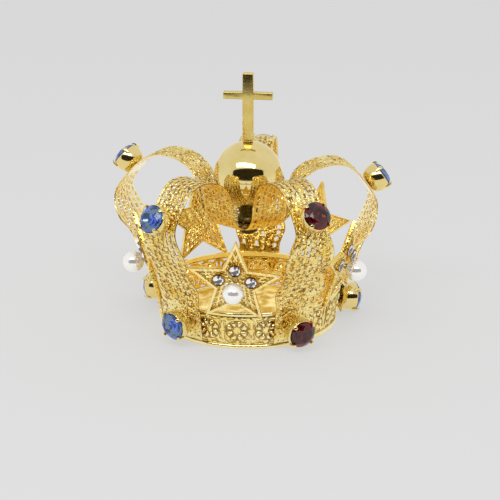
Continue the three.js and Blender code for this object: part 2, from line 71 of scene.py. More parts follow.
camera_turn = 7
camera_distance = 350 * MM
crown_middle = Vector((0, 0, 22 * MM))
toward_camera = direction(camera_turn, 17.5)
camera_right = direction(camera_turn + 90, 0)
camera_up = toward_camera.cross(camera_right)
camera_place = crown_middle + toward_camera * camera_distance
camera_aim = crown_middle + camera_right * 0.35 * MM - camera_up * 7.4 * MM

lens = bpy.data.cameras.new("crown_camera")
lens.lens = 128.2
lens.clip_start = 10 * MM
lens.clip_end = 10
camera = new_object("crown_camera", lens)
camera.location = camera_place
camera.rotation_euler = (camera_aim - camera_place).to_track_quat("-Z", "Y").to_euler()
bpy.context.scene.camera = camera
bpy.context.scene.view_settings.view_transform = "Standard"
print("camera at", [round(v / MM) for v in camera_place], "mm")

# %% [markdown]
# ## Light
# Bright metal shows what stands round it more than its own colour. The crown stood in a white tent with
# a wide lamp above its front, and the dark room showed through the tent's opening. Many small lamps
# would leave spots on the ball, so the world itself is an even pale grey with one wide soft lamp.

# %% Hang the lamp
width, depth = 0.58, 0.12
light = bpy.data.lights.new("front_lamp", "AREA")
light.shape = "RECTANGLE"
light.size, light.size_y = width, depth
# With this energy the lamp is five times as bright as a white wall.
light.energy = 5 * math.pi * width * depth
lamp = new_object("front_lamp", light)
toward_lamp = direction(-4, 47)
lamp.location = crown_middle + toward_lamp * 0.5
lamp.rotation_euler = toward_lamp.to_track_quat("Z", "Y").to_euler()
print("lamp at", [round(v / MM) for v in lamp.location], "mm")

# %% Helpers that put shader nodes together
def feed(socket, value):
    """Links another node's output to a socket, or else sets the socket to a plain value."""
    if isinstance(value, bpy.types.NodeSocket):
        socket.id_data.links.new(value, socket)
    else:
        socket.default_value = value


def set_up(node, **values):
    """Sets up a node. A name that starts with a capital is an input, and any other is a setting."""
    for name, value in values.items():
        if name[0].isupper():
            feed(node.inputs[name.replace("_", " ")], value)
        else:
            setattr(node, name, value)
    return node


def add(tree, kind, **values):
    return set_up(tree.nodes.new(kind), **values)


def maths(tree, operation, first, second):
    node = add(tree, "ShaderNodeMath", operation=operation)
    feed(node.inputs[0], first)
    feed(node.inputs[1], second)
    return node.outputs[0]


def span(tree, share, low, high, start=0, end=1):
    """Stretches a share between start and end to a number between low and high."""
    limits = {"From_Min": start, "From_Max": end, "To_Min": low, "To_Max": high}
    return add(tree, "ShaderNodeMapRange", Value=share, **limits).outputs["Result"]


def ramp(tree, share, low, high, start=0, end=1):
    """Turns a share between start and end into a colour between low and high."""
    node = add(tree, "ShaderNodeValToRGB", Fac=share)
    for stop, colour, place in zip(node.color_ramp.elements, (low, high), (start, end)):
        stop.color = (*colour, 1)
        stop.position = place
    return node.outputs["Color"]


def blend(tree, share, low, high):
    return add(tree, "ShaderNodeMix", data_type="RGBA", Factor=share, A=low, B=high).outputs["Result"]


def texture(tree, kind, **values):
    """Adds a texture that keeps its place on a piece, because it reads Object coordinates."""
    place = add(tree, "ShaderNodeTexCoord").outputs["Object"]
    return add(tree, kind, Vector=place, **values).outputs


def noise(tree, **values):
    return texture(tree, "ShaderNodeTexNoise", **values)["Fac"]


def new_material(name):
    material = bpy.data.materials.new(name)
    material.use_nodes = True
    return material, material.node_tree, material.node_tree.nodes["Principled BSDF"]


# %% The even pale world, a little brighter in mirrors
pale = (0.716, 0.716, 0.716, 1)
world = bpy.data.worlds.new("tent")
bpy.context.scene.world = world
world.use_nodes = True
tree = world.node_tree
rays = add(tree, "ShaderNodeLightPath").outputs
set_up(tree.nodes["Background"], Color=pale, Strength=span(tree, rays["Is Glossy Ray"], 1, 1.18))
print("world colour:", pale[:3])

# %% Helpers that select a piece and open it for editing
def deselect_all():
    if bpy.context.object and bpy.context.object.mode != "OBJECT":
        bpy.ops.object.mode_set(mode="OBJECT")
    bpy.ops.object.select_all(action="DESELECT")


def select_only(*pieces):
    """Selects the given pieces and nothing else. The first of them is the active one."""
    deselect_all()
    for piece in pieces:
        piece.select_set(True)
    bpy.context.view_layer.objects.active = pieces[0]


def edit(piece, kind="FACE"):
    """Opens a piece in edit mode, with everything in it selected."""
    select_only(piece)
    bpy.ops.object.mode_set(mode="EDIT")
    bpy.ops.mesh.select_mode(type=kind)
    bpy.ops.mesh.select_all(action="SELECT")


def close_edit(piece, merge=0):
    """Closes edit mode. A merge distance joins close points and turns the faces outwards."""
    if merge:
        bpy.ops.mesh.select_all(action="SELECT")
        bpy.ops.mesh.remove_doubles(threshold=merge)
        bpy.ops.mesh.normals_make_consistent(inside=False)
    bpy.ops.object.mode_set(mode="OBJECT")
    return piece


# %% [markdown]
# ## Floor and cards
# The crown stands on bright paper. A plain white floor would look grey, so it also glows a little, and
# more in mirrors. Inside the crown the gold throws warm light on the paper, which a warm patch gives
# more surely than light bounces. The dark cards stand for the room and show only in mirrors: one makes
# the dark spot on the ball and the bowls, and one the dark line where the paper ends.

# %% The floor
floor_paper, tree, shader = new_material("floor_paper")
tree.nodes.remove(shader)
rays = add(tree, "ShaderNodeLightPath").outputs
seen = maths(tree, "MAXIMUM", rays["Is Camera Ray"], rays["Is Glossy Ray"])
seen = maths(tree, "MAXIMUM", seen, rays["Is Transmission Ray"])
paper = add(tree, "ShaderNodeBsdfDiffuse", Color=(0.79, 0.79, 0.79, 1))
glow = add(tree, "ShaderNodeEmission", Color=pale, Strength=span(tree, rays["Is Glossy Ray"], 1, 1.38))
paper_or_glow = add(tree, "ShaderNodeMixShader", Fac=maths(tree, "MULTIPLY", seen, 0.7))
feed(paper_or_glow.inputs[1], paper.outputs[0])
feed(paper_or_glow.inputs[2], glow.outputs[0])
feed(tree.nodes["Material Output"].inputs["Surface"], paper_or_glow.outputs[0])

deselect_all()
bpy.ops.mesh.primitive_plane_add(size=6, location=(0, 0, 0))
floor = bpy.context.object
floor.name = "floor"
floor.data.materials.append(floor_paper)

# %% The painted pool of warm light on the floor inside the crown
painted_warm_light, tree, shader = new_material("painted_warm_light")
warm_light_tint = ramp(tree, noise(tree, Scale=330, Detail=4), (0.55, 0.36, 0.06), (0.95, 0.8, 0.36), 0.42, 0.58)
# The patch glows a little: painted warm light from the gold, not a colour of the paper.
set_up(shader, Base_Color=warm_light_tint, Emission_Color=warm_light_tint, Emission_Strength=0.45, Roughness=1)
deselect_all()
bpy.ops.mesh.primitive_circle_add(vertices=64, radius=16.8 * MM, fill_type="NGON", location=(0, 0, 0.1 * MM))
warm_light_patch = bpy.context.object
warm_light_patch.name = "warm_light_patch"
warm_light_patch.data.materials.append(painted_warm_light)

# %% The two dark cards
dark_cloth, tree, shader = new_material("dark_cloth")
set_up(shader, Base_Color=(0.03, 0.022, 0.012, 1), Roughness=1)


def dark_card(name, width, height, corner):
    """A card with round corners, which shows only as a mirror image in the metal."""
    deselect_all()
    bpy.ops.mesh.primitive_plane_add(size=1, location=(0, 0, 0))
    card = bpy.context.object
    card.name = name
    bpy.ops.transform.resize(value=(width, height, 1))
    edit(card, "VERT")
    bpy.ops.mesh.bevel(offset=corner, segments=6, affect="VERTICES")
    close_edit(card)
    card.visible_camera = False
    card.visible_shadow = False
    card.visible_diffuse = False
    card.data.materials.append(dark_cloth)
    return card


back_card = dark_card("back_card", 0.98, 0.4, 0.12)
back_card.location = crown_middle + toward_camera * 0.37 - camera_up * 0.076
back_card.rotation_euler = toward_camera.to_track_quat("Z", "Y").to_euler()
floor_card_depth = 0.12
paper_reach = 0.24
floor_card = dark_card("floor_card", 0.9, floor_card_depth, 0.02)
floor_card.location = direction(camera_turn, 0) * (paper_reach + floor_card_depth / 2)
floor_card.location.z = 0.5 * MM
floor_card.rotation_euler = (0, 0, math.radians(camera_turn))
print("cards:", back_card.name, floor_card.name)

# %% [markdown]
# ## Gilding
# The gilding is a thin bright gold layer. The ball, the bowls and the cross are polished, with faint
# cloudy wipe marks. The pierced sheets glitter on the crinkles and small beads of their stamping. These
# are too many to model, so bumps make them, with painted shade in the gaps. One function makes all gilt
# finishes, and paints shade into the gold where a neighbour shades it. A sheet has a list of finishes,
# because its inside and walls are darker copies of the gold, painted shade, and some parts are paler
# copies, painted light.

# %% The gilt finishes
bead_size = 0.55 * MM
gap_shade_brown = (0.2, 0.09, 0.012, 1)


def gilding(name, rough, crinkles, shade, low, high, beads=None, deep=(0.5, 0.27, 0.05)):
    """A gilt finish with painted shade in its crevices. Crinkles have a size and depth, and beads a depth
    and the darkness of the painted shade in their gaps.
    """
    material, tree, shader = new_material(name)
    tint = ramp(tree, noise(tree, Scale=330, Detail=4, Roughness=0.6), low, high, 0.3, 0.7)
    # Painted shade: ambient occlusion blends the gold towards the deep colour where neighbouring metal
    # shades it.
    neighbour_shade = add(tree, "ShaderNodeAmbientOcclusion", samples=4, Distance=0.5 * MM)
    crevice = span(tree, neighbour_shade.outputs["AO"], shade, 0, 0.25, 0.85)
    colour = blend(tree, crevice, tint, (*deep, 1))
    crinkle_size, crinkle_depth = [v * MM for v in crinkles]
    crinkle = noise(tree, Scale=1 / crinkle_size, Detail=3, Roughness=0.55)
    bump = add(tree, "ShaderNodeBump", Height=crinkle, Strength=1, Distance=crinkle_depth)
    if beads:
        bead_depth, gap_shade = beads
        height = texture(tree, "ShaderNodeTexVoronoi", Scale=1 / bead_size)["Distance"]
        # Painted shade: the gaps between the beads are blended towards a dark brown.
        colour = blend(tree, span(tree, height, 0, gap_shade, 0.62, 0.82), colour, gap_shade_brown)
        stamped = {"Height": height, "Strength": 1, "Distance": bead_depth * MM}
        bump = add(tree, "ShaderNodeBump", invert=True, Normal=bump.outputs["Normal"], **stamped)
    wipe = noise(tree, Scale=420, Detail=5, Roughness=0.65)
    sheen = span(tree, wipe, rough, rough * 2, 0.3, 0.75)
    set_up(shader, Metallic=1, Base_Color=colour, Roughness=sheen, Normal=bump.outputs["Normal"])
    return material


# Each finish has its roughness, its crinkles, its painted shade in the crevices, and its low and high
# colour.
gilt_mirror = gilding("gilt_mirror", 0.05, (2.5, 0.012), 0.1, (0.78, 0.62, 0.22), (0.86, 0.71, 0.34))
gilt_wire = gilding("gilt_wire", 0.12, (0.9, 0.06), 0.35, (0.95, 0.78, 0.3), (1, 0.9, 0.52))
gilt_cross = gilding("gilt_cross", 0.16, (0.9, 0.02), 0.2, (0.68, 0.5, 0.13), (0.76, 0.61, 0.21))
gilt_sheet = gilding("gilt_sheet", 0.08, (0.9, 0.3), 0.3, (0.86, 0.58, 0.09), (1, 0.88, 0.44), (0.18, 0.9))
# Painted shade: this darker, more orange copy of the gold goes on the insides and backs of the sheets.
gilt_shaded_orange = gilding("gilt_shaded_orange", 0.1, (1.2, 0.2), 0.5, (0.78, 0.48, 0.07), (1, 0.81, 0.26))
# Painted light: this pale copy of the gold goes on the insides of the two side arches.
gilt_painted_light = gilding("gilt_painted_light", 0.1, (1.2, 0.1), 0.4, (0.97, 0.8, 0.36), (1, 0.92, 0.6))
# Painted shade: this dark copy of the gold goes on the walls of the openings, the web round the petals and
# the cups' lips.
gilt_painted_shade = gilding("gilt_painted_shade", 0.12, (0.9, 0.03), 0.9, (0.3, 0.17, 0.03), (0.42, 0.27, 0.07))
gilt_star = gilding("gilt_star", 0.09, (0.9, 0.12), 0.7, (0.97, 0.76, 0.24), (1, 0.88, 0.46), (0.08, 0.4))
# Painted highlight: this pale, smooth copy of the gold goes on the petal tops.
gilt_petal_highlight = gilding("gilt_petal_highlight", 0.06, (0.7, 0.05), 0.5, (0.98, 0.84, 0.45), (1, 0.93, 0.66))
# The circlet's leaf finish paints its shade in the crevices in a darker brown.
dark = (0.12, 0.06, 0.01)
gilt_leaf = gilding("gilt_leaf", 0.09, (0.7, 0.1), 1, (0.93, 0.69, 0.15), (1, 0.86, 0.4), (0.07, 0.7), dark)
# Painted shade: the hub pieces under the ball get a very dark brass.
brass_painted_shade = gilding("brass_painted_shade", 0.2, (0.9, 0.03), 0.9, (0.05, 0.04, 0.015), (0.12, 0.09, 0.03))

# The faces of a sheet are numbered by their place, and each number has its own finish in the list.
OUTSIDE, INSIDE, WALL, PETAL = range(4)
# The inside and wall finishes are darker copies of the gold, painted shade. The side arches' inside and the
# petal tops are paler copies, painted light.
sheet_finishes = [gilt_sheet, gilt_shaded_orange, gilt_painted_shade]
side_finishes = [gilt_sheet, gilt_painted_light, gilt_shaded_orange]
leaf_finishes = [gilt_leaf, gilt_shaded_orange, gilt_painted_shade, gilt_petal_highlight]
star_finishes = [gilt_star, gilt_shaded_orange, gilt_painted_shade]
print("gilt finishes:", [m.name for m in bpy.data.materials if m.name.startswith("gilt")])

# %% [markdown]
# ## Glass and pearl
# The stones are cut glass with a bright foil on the back, which makes such a small stone shine. Glass
# alone would need many light bounces for this. So the front facets are clear tinted glass, and the back
# facets are by turns a bright foil that glows a little, a painted glint, and a deep one, a painted dark
# reflection. The pearls have a soft, slightly metallic coat over a white bead.

# %% The glass and foil finishes
def glass(name, colour, clearness, gloss=0.5):
    """Clear tinted glass with faint clouds and fine scratches."""
    material, tree, shader = new_material(name)
    tint = ramp(tree, noise(tree, Scale=300, Detail=2), [c * 0.85 for c in colour], colour)
    scratches = span(tree, noise(tree, Scale=1500, Detail=4), 0.02, 0.06)
    set_up(shader, Base_Color=tint, Roughness=scratches, IOR=1.56)
    set_up(shader, Transmission_Weight=clearness, Specular_IOR_Level=gloss)
    return material


def foil(name, deep, bright, metal=0.5, glint_glow=0):
    """A coloured mirror for the back facets. Its glow, a painted glint, is how far it is lit by itself."""
    material, tree, shader = new_material(name)
    tint = ramp(tree, noise(tree, Scale=700, Detail=2), deep, bright)
    set_up(shader, Base_Color=tint, Metallic=metal, Roughness=0.14)
    set_up(shader, Emission_Color=(*bright, 1), Emission_Strength=glint_glow)
    return material


# Each stone has its glass, a bright foil that glows a little as a painted glint, and a deep foil as a
# painted dark reflection.
blue_finishes = [
    glass("blue_glass", (0.19, 0.37, 1.0), 0.9),
    foil("blue_foil", (0.2, 0.4, 1.0), (0.5, 0.68, 1.0), glint_glow=0.15),
    foil("deep_blue_foil", (0.004, 0.008, 0.16), (0.02, 0.05, 0.5)),
]
garnet_finishes = [
    glass("garnet_glass", (0.1, 0.01, 0.012), 0.9, gloss=0.25),
    foil("garnet_foil", (0.6, 0.02, 0.04), (1.0, 0.05, 0.12), glint_glow=0.2),
    foil("deep_garnet_foil", (0.012, 0.003, 0.002), (0.06, 0.01, 0.006)),
]
crystal_finishes = [
    glass("clear_glass", (1, 1, 1), 0.94),
    foil("silver_foil", (0.95, 0.93, 0.95), (1, 0.97, 0.95), metal=0, glint_glow=0.5),
    foil("grey_foil", (0.04, 0.035, 0.04), (0.3, 0.28, 0.3)),
]
print("stone finishes:", len(blue_finishes + garnet_finishes + crystal_finishes))

# %% The pearl's coat
pearl_coat, tree, shader = new_material("pearl_coat")
tint = ramp(tree, noise(tree, Scale=500, Detail=3), (0.95, 0.92, 0.88), (1, 0.98, 0.96))
soft = span(tree, noise(tree, Scale=2200, Detail=2), 0.1, 0.2)
set_up(shader, Base_Color=tint, Roughness=soft, Metallic=0.6, Coat_Weight=0.6, Coat_Roughness=0.12)
print("pearl finish:", pearl_coat.name)

# %% [markdown]
# ## Helpers at the bench
# Every piece starts as a primitive, is shaped in edit mode, and is finished by modifiers. Faces could be
# clicked by hand, but only once, so here they are picked by a test on their place. The last helper
# gives a finished piece its name and finish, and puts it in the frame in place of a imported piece.

# %% Helpers that pick, push and pull in edit mode
def pick(piece, kind, is_wanted):
    """Selects only the verts, edges or faces that a test wants, and returns how many they are."""
    bpy.ops.mesh.select_mode(type={"verts": "VERT", "edges": "EDGE", "faces": "FACE"}[kind])
    bpy.ops.mesh.select_all(action="DESELECT")
    mesh = bmesh.from_edit_mesh(piece.data)
    found = [part for part in getattr(mesh, kind) if is_wanted(part)]
    for part in found:
        part.select = True
    mesh.select_flush_mode()
    bmesh.update_edit_mesh(piece.data)
    return len(found)


def lift(height):
    """Moves what is selected up by a height in millimetres."""
    bpy.ops.transform.translate(value=(0, 0, height * MM))


def extrude(*step):
    """Extrudes what is selected by a step in millimetres."""
    bpy.ops.mesh.extrude_region_move(TRANSFORM_OT_translate={"value": [v * MM for v in step]})


# %% Helpers that finish a shape with modifiers
def modify(piece, kind, **settings):
    """Adds a modifier, sets it and applies it at once."""
    select_only(piece)
    bpy.ops.object.modifier_add(type=kind)
    modifier = piece.modifiers[-1]
    for key, value in settings.items():
        setattr(modifier, key, value)
    bpy.ops.object.modifier_apply(modifier=modifier.name)
    return piece


def smooth_over(piece, levels=1):
    return modify(piece, "SUBSURF", levels=levels, render_levels=levels)


def round_edges(piece, width, segments, angle):
    """Rounds the edges that are sharper than an angle in degrees."""
    limits = {"limit_method": "ANGLE", "angle_limit": math.radians(angle)}
    return modify(piece, "BEVEL", width=width * MM, segments=segments, **limits)


def thicken(piece, thickness, wall):
    """Gives a sheet its thickness. The inside and the walls get numbers of their own."""
    numbers = {"material_offset": INSIDE, "material_offset_rim": wall}
    return modify(piece, "SOLIDIFY", thickness=thickness * MM, offset=-1, **numbers)


# %% Helpers that copy, place, join and settle a piece
def place_by(piece, matrix):
    """Moves a piece by a matrix, and writes that place into its mesh."""
    piece.matrix_world = matrix
    select_only(piece)
    bpy.ops.object.transform_apply(location=True, rotation=True, scale=True)
    return piece


def take_new(turn=0):
    """Takes the primitive that was just added, and writes its place into its mesh."""
    piece = bpy.context.object
    return place_by(piece, piece.matrix_world @ Matrix.Rotation(turn, 4, "Z"))


def copy_of(piece):
    return new_object(piece.name, piece.data.copy())


def join(*pieces):
    select_only(*pieces)
    bpy.ops.object.join()
    return pieces[0]


def take_finishes(piece, finishes):
    """Gives a piece its list of finishes. Each face keeps its number in the list."""
    wear = [min(polygon.material_index, len(finishes) - 1) for polygon in piece.data.polygons]
    piece.data.materials.clear()
    for finish in finishes:
        piece.data.materials.append(finish)
    piece.data.polygons.foreach_set("material_index", wear)


def settle(piece, name, finishes, slot, *replaced, soft_angle=40):
    """Names a piece, dresses it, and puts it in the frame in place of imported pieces."""
    piece.name = piece.data.name = name
    take_finishes(piece, finishes if isinstance(finishes, list) else [finishes])
    select_only(piece)
    if soft_angle:
        bpy.ops.object.shade_smooth_by_angle(angle=math.radians(soft_angle))
    else:
        bpy.ops.object.shade_flat()
    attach(piece, "root")
    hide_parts(*replaced)
    return piece


# %% A helper that turns a profile on the lathe
def lathe(profile, steps=64):
    """Spins a profile of (radius, height) in millimetres round the upright axis."""
    points = [(radius * MM, 0, height * MM) for radius, height in profile]
    blank = bpy.data.meshes.new("blank")
    blank.from_pydata(points, [(i, i + 1) for i in range(len(points) - 1)], [])
    piece = new_object("turned", blank)
    edit(piece, "VERT")
    bpy.ops.mesh.spin(steps=steps, angle=2 * math.pi, center=(0, 0, 0), axis=(0, 0, 1))
    return close_edit(piece, merge=0.002 * MM)


# %% [markdown]
# ## The sizes that the pieces share
# These are the CAD model's own sizes, in millimetres. An arch follows a smooth curve through points
# given as radius and height. Each could be drawn by hand, but the sheet and the bowls that stand on it
# must agree, so the curve is worked out once and both of them read it.

# %% Sizes in millimetres
fit_gap = 0.06
solder_gap = 0.15
circlet_foot_radius = 17.4
circlet_height = 7.8
rim_height = 0.95
rim_depth = 0.85
rim_overhang = 0.2
arch_foot_height = 1.2
arch_sheet = 0.5
arch_reach = 25.2
arch_crest = 32.2
hub_height = 20
stud_radius = 0.8
collar_radius = 2.15
washer_radius = 3.1
# Each arch's turn, reach, crest, place of its shoulder stone and height of its foot stone.
arches = {
    "front_right": (0.097, arch_reach, arch_crest, 0.46, 4.4),
    "right": (0.3, arch_reach * 0.988, arch_crest * 0.975, 0.46, 3.4),
    "back": (0.5, arch_reach * 1.008, arch_crest * 1.006, 0.455, 4),
    "left": (0.7, arch_reach * 1.087, arch_crest, 0.49, 4),
    "front_left": (0.906, arch_reach * 0.975, arch_crest * 0.988, 0.44, 4.88),
}
turns = [turn for turn, *_ in arches.values()]
tip_sector = math.pi * min((b - a) % 1 for a, b in zip(turns, [*turns[1:], turns[0]]))
print("each arch tip has", round(math.degrees(2 * tip_sector), 1), "degrees")


def mix(low, high, share):
    return low + (high - low) * share


def circlet_radius(height):
    return circlet_foot_radius + height / circlet_height


def foot_radius(height):
    return circlet_radius(height) + rim_overhang + fit_gap


# %% The curve of an arch
def between(low, high, *shares):
    """Points between two corners, each at its share of the way across and of the way up."""
    return [(mix(low[0], high[0], across), mix(low[1], high[1], up)) for across, up in shares]


def arch_points(reach, crest):
    """The points that an arch's curve runs through, from its foot to its tip."""
    foot = (foot_radius(arch_foot_height), arch_foot_height)
    ankle = (foot_radius(circlet_height), circlet_height)
    shoulder, top, leg = (reach, 23.5), (17.5, crest), (9.2, 26.5)
    points = [foot, ((foot[0] + ankle[0]) / 2, (foot[1] + ankle[1]) / 2), ankle]
    points += [*between(ankle, shoulder, (0.4, 0.39), (0.81, 0.7)), shoulder]
    points += [*between(shoulder, top, (0.3, 0.52), (0.64, 0.87)), top]
    points += [*between(top, leg, (0.55, 0.15), (0.88, 0.55)), leg]
    points += between(leg, (collar_radius, hub_height), (0.1, 0.55), (0.42, 0.92))
    points += [((washer_radius + collar_radius) / 2, hub_height), (stud_radius + 2 * fit_gap, hub_height)]
    return [Vector(point) for point in points]


def smooth_curve(points, fine=24):
    """Fine points on the centripetal curve through the given ones."""
    ends = [points[0] * 2 - points[1], *points, points[-1] * 2 - points[-2]]
    curve = []
    for a, b, c, d in zip(ends, ends[1:], ends[2:], ends[3:]):
        before, here, after = [(q - p).length ** 0.5 for p, q in ((a, b), (b, c), (c, d))]
        start = ((b - a) / before - (c - a) / (before + here) + (c - b) / here) * here
        end = ((c - b) / here - (d - b) / (here + after) + (d - c) / after) * here
        square, cube = c * 3 - b * 3 - start * 2 - end, b * 2 - c * 2 + start + end
        for step in range(fine):
            t = step / fine
            curve.append(b + start * t + square * t**2 + cube * t**3)
    return [*curve, points[-1]]


class Route:
    """An arch's curve, read by the length along it in millimetres."""

    def __init__(self, reach, crest):
        self.points = smooth_curve(arch_points(reach, crest))
        self.marks = [0]
        for a, b in zip(self.points, self.points[1:]):
            self.marks.append(self.marks[-1] + (b - a).length)
        self.length = self.marks[-1]

    def at(self, along):
        along = min(max(along, 0), self.length - 0.001)
        i = next(i for i, mark in enumerate(self.marks) if mark > along)
        share = (along - self.marks[i - 1]) / (self.marks[i] - self.marks[i - 1])
        return self.points[i - 1].lerp(self.points[i], share)

    def outward(self, along):
        step = (self.at(along + 0.05) - self.at(along - 0.05)).normalized()
        return Vector((step.y, -step.x))


routes = {side: Route(reach, crest) for side, (_, reach, crest, *_) in arches.items()}
print("arch lengths in mm:", {side: round(route.length, 2) for side, route in routes.items()})

# %% [markdown]
# ## Circlet
# The circlet is a strip with a row of stamped flowers. It is slow work to stamp a bent strip, so one
# flower is made flat, repeated by an Array modifier and wrapped round the circlet's cone. It starts as
# one face. Insets rounded to circles make the ring of petals and the boss, and the corners outside the
# ring are cut through with a raised lip. Each petal is embossed, with a pale top that is a painted
# highlight and dark metal round it that is painted shade, which is what draws the flower.

# %% Helpers that stamp a sheet
def emboss(piece, web, slope, rise, is_wanted, cut_through=False):
    """Raises each wanted face inside a web of flat metal. Cut through, it is a hole with a raised lip."""
    edit(piece)
    count = pick(piece, "faces", is_wanted)
    bpy.ops.mesh.inset(thickness=web * MM, use_individual=True)
    bpy.ops.mesh.inset(thickness=slope * MM, depth=rise * MM, use_individual=True)
    if cut_through:
        bpy.ops.mesh.delete(type="FACE")
    close_edit(piece)
    return count


def pierce(piece, web, lip, rise, is_opening):
    return emboss(piece, web, lip, rise, is_opening, cut_through=True)


def middle_of(face):
    return face.calc_center_median() / MM


# %% One flower of the circlet
flower_count = 20
band_low, band_high = rim_height + fit_gap, circlet_height - rim_height - fit_gap
band_middle = (band_low + band_high) / 2
flower_width = 2 * math.pi * circlet_radius(band_middle) / flower_count
ring_radius, boss_radius = 2.25, 0.72


def is_petal_side(edge):
    """True for an edge of the eight rays that are dissolved, so that a petal is one face."""
    a, b = [vert.co.xy for vert in edge.verts]
    if abs(a.length - b.length) < 0.05 * MM or a.length < 0.6 * MM:
        return False
    middle = (a + b) / 2
    share = math.atan2(middle.y, middle.x) / (2 * math.pi) * 8 - 0.5
    return abs(share - round(share)) < 0.2


deselect_all()
bpy.ops.mesh.primitive_grid_add(x_subdivisions=4, y_subdivisions=4, size=1, location=(0, 0, 0))
lace = bpy.context.object
edit(lace)
bpy.ops.mesh.dissolve_faces()
bpy.ops.transform.resize(value=(flower_width * MM, (band_high - band_low) * MM, 1))
for radius in (ring_radius, boss_radius):
    bpy.ops.mesh.inset(thickness=0.4 * MM)
    bpy.ops.transform.tosphere(value=1)
    ring = bmesh.from_edit_mesh(lace.data)
    now = max(vert.co.xy.length for vert in ring.verts if vert.select)
    bpy.ops.transform.resize(value=(radius * MM / now, radius * MM / now, 1))
bpy.ops.mesh.poke()
pick(lace, "edges", is_petal_side)
bpy.ops.mesh.dissolve_edges(use_verts=False)
pick(lace, "verts", lambda v: v.co.length < 0.1 * MM)
lift(0.3)
close_edit(lace)
print("the flower's blank has", len(lace.data.polygons), "faces")

# %% Pierce, emboss and colour the flower
def is_petal(face):
    return 0.8 < middle_of(face).xy.length < 2 and face.calc_area() > 0.8 * MM**2


openings = pierce(lace, 0.16, 0.1, 0.1, lambda f: middle_of(f).xy.length > 2.2)
petals = emboss(lace, 0.12, 0.22, 0.38, is_petal)
take_finishes(lace, leaf_finishes)
# The flat web round the petals gets the dark wall finish, painted shade, and the petal tops get the pale
# one, a painted highlight.
for polygon in lace.data.polygons:
    reach, rise = polygon.center.xy.length / MM, polygon.center.z / MM
    if 0.75 < reach < ring_radius and rise < 0.05:
        polygon.material_index = WALL
    elif reach > 0.8 and rise > 0.3:
        polygon.material_index = PETAL
print("one flower:", openings, "openings,", petals, "petals,", len(lace.data.polygons), "faces")

# %% Repeat the flower and wrap the strip round
offset = {"use_relative_offset": False, "use_constant_offset": True}
offset["constant_offset_displace"] = (flower_width * MM, 0, 0)
modify(lace, "ARRAY", count=flower_count, use_merge_vertices=True, merge_threshold=0.01 * MM, **offset)
# The strip is wrapped round the circlet's cone, with its +Z side out.
for vert in lace.data.vertices:
    along, height, out = vert.co.x / MM, band_middle + vert.co.y / MM, vert.co.z / MM
    turn = along / circlet_radius(band_middle)
    radius = circlet_radius(height) - 0.17 + out
    vert.co = Vector((radius * math.sin(turn), -radius * math.cos(turn), height)) * MM
lace.data.update()
edit(lace)
close_edit(lace, merge=0.02 * MM)
thicken(lace, 0.25, WALL)
smooth_over(lace)
settle(lace, "circlet_lace", leaf_finishes, "gilt", "circlet_sheet")
print("circlet:", len(lace.data.polygons), "faces")

# %% [markdown]
# ## Rim wires
# A half-round wire is soldered along each edge of the circlet. A curve with a round bevel would be
# round inside too, but this wire is flat there, so its profile is spun round the axis instead.

# %% Spin the rim wires
rim_round, rim_chamfer = 0.4, 0.1
for name, low, packed in (
    ("lower_rim", 0, "bottom_rim_wire"),
    ("upper_rim", circlet_height - rim_height, "top_rim_wire"),
):
    high = low + rim_height
    outer = circlet_radius(low) + rim_overhang
    inner = outer - rim_depth
    profile = [(inner, low + rim_chamfer), (inner + rim_chamfer, low)]
    for angle in [math.radians(degrees) for degrees in range(-90, 91, 18)]:
        out = outer - rim_round + rim_round * math.cos(angle)
        profile.append((out, low + rim_height / 2 * (1 + math.sin(angle))))
    profile += [(inner + rim_chamfer, high), (inner, high - rim_chamfer), (inner, low + rim_chamfer)]
    rim = settle(lathe(profile, 128), name, gilt_wire, "gilt", packed)
    print(name, "has", len(rim.data.polygons), "faces")

# %% [markdown]
# ## Arches
# Each arch is a bent strip with a net of small six-sided cells, in eight rows that are staggered like
# bricks. Some cells are beads, and the rest are openings with a raised lip and walls painted darker as
# painted shade. A bent strip is hard to measure, so it is pierced flat and thickened, and a Curve
# modifier then bends it along its own route, as a goldsmith would. It stays plain behind the circlet's
# stone, under the shoulder's bowl and at its tip. The two side arches show their insides painted pale,
# as painted light.

# %% How wide an arch is along its length
arch_widths = ((0, 8.4), (0.12, 8.4), (0.185, 10.6), (0.25, 8.2), (0.32, 10.2))
arch_widths += ((0.43, 6.6), (0.62, 7.2), (0.84, 7.4), (1, 7.4))


def half_width(route, along):
    """Half of the arch's width, which near the tip stays inside its sector of the circle."""
    share = along / route.length
    for (low, low_width), (high, high_width) in zip(arch_widths, arch_widths[1:]):
        if share <= high:
            break
    eased = (share - low) / (high - low)
    eased = eased * eased * (3 - 2 * eased)
    room = route.at(along).x * math.tan(tip_sector) - fit_gap / math.cos(tip_sector)
    return min(mix(low_width, high_width, eased) / 2, room)


print("the back arch is", round(2 * half_width(routes["back"], 10), 2), "mm wide at 10 mm")

# %% A flat strip with brickwork cells
row_shares = (-1, -0.88, -0.58, -0.27, 0, 0.27, 0.58, 0.88, 1)
cell_length = 1.36


